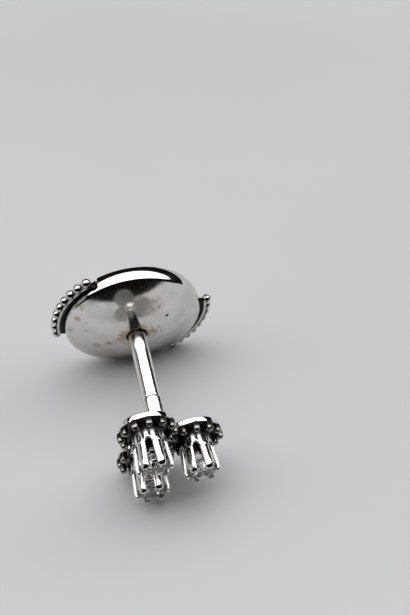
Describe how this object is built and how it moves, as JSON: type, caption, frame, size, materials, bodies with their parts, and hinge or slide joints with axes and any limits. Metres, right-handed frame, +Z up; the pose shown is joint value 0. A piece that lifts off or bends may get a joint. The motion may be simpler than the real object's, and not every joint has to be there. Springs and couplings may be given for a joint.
{
  "type": "stud earring",
  "caption": "Stud earring with claw-set clear stones on a trefoil of round cups, a plain post and a round sliding safety clutch with beaded squeeze tabs.",
  "frame": {"origin": "middle of the outline on the surface that the earring lies on", "axes": "+Z up from that surface, the stones towards -Y, the clutch towards +Y"},
  "size_m": [0.0114, 0.0142, 0.0096],
  "materials": {
    "white_metal": "polished, lightly scratched",
    "clear_stone": "faceted and polished"
  },
  "bodies": {
    "head": {"head_setting": "white_metal", "stone_1": "clear_stone", "stone_2": "clear_stone", "stone_3": "clear_stone"},
    "clutch": {"clutch_case": "white_metal", "clutch_back": "white_metal"},
    "tab_left": {"tab_left": "white_metal"},
    "tab_right": {"tab_right": "white_metal"}
  },
  "joints": [
    {"name": "clutch_slide", "type": "slide", "parent": "head", "child": "clutch", "axis": [0, -0.9926, -0.1212], "range_m": [-0.00265, 0.005]},
    {"name": "tab_left_squeeze", "type": "slide", "parent": "clutch", "child": "tab_left", "axis": [0.8918, 0.0548, -0.4491], "range_m": [0, 0.0004], "stiffness_N_per_m": 200, "springref_m": -0.0002},
    {"name": "tab_right_squeeze", "type": "slide", "parent": "clutch", "child": "tab_right", "axis": [-0.8918, -0.0548, 0.4491], "range_m": [0, 0.0004], "stiffness_N_per_m": 200, "springref_m": -0.0002}
  ]
}
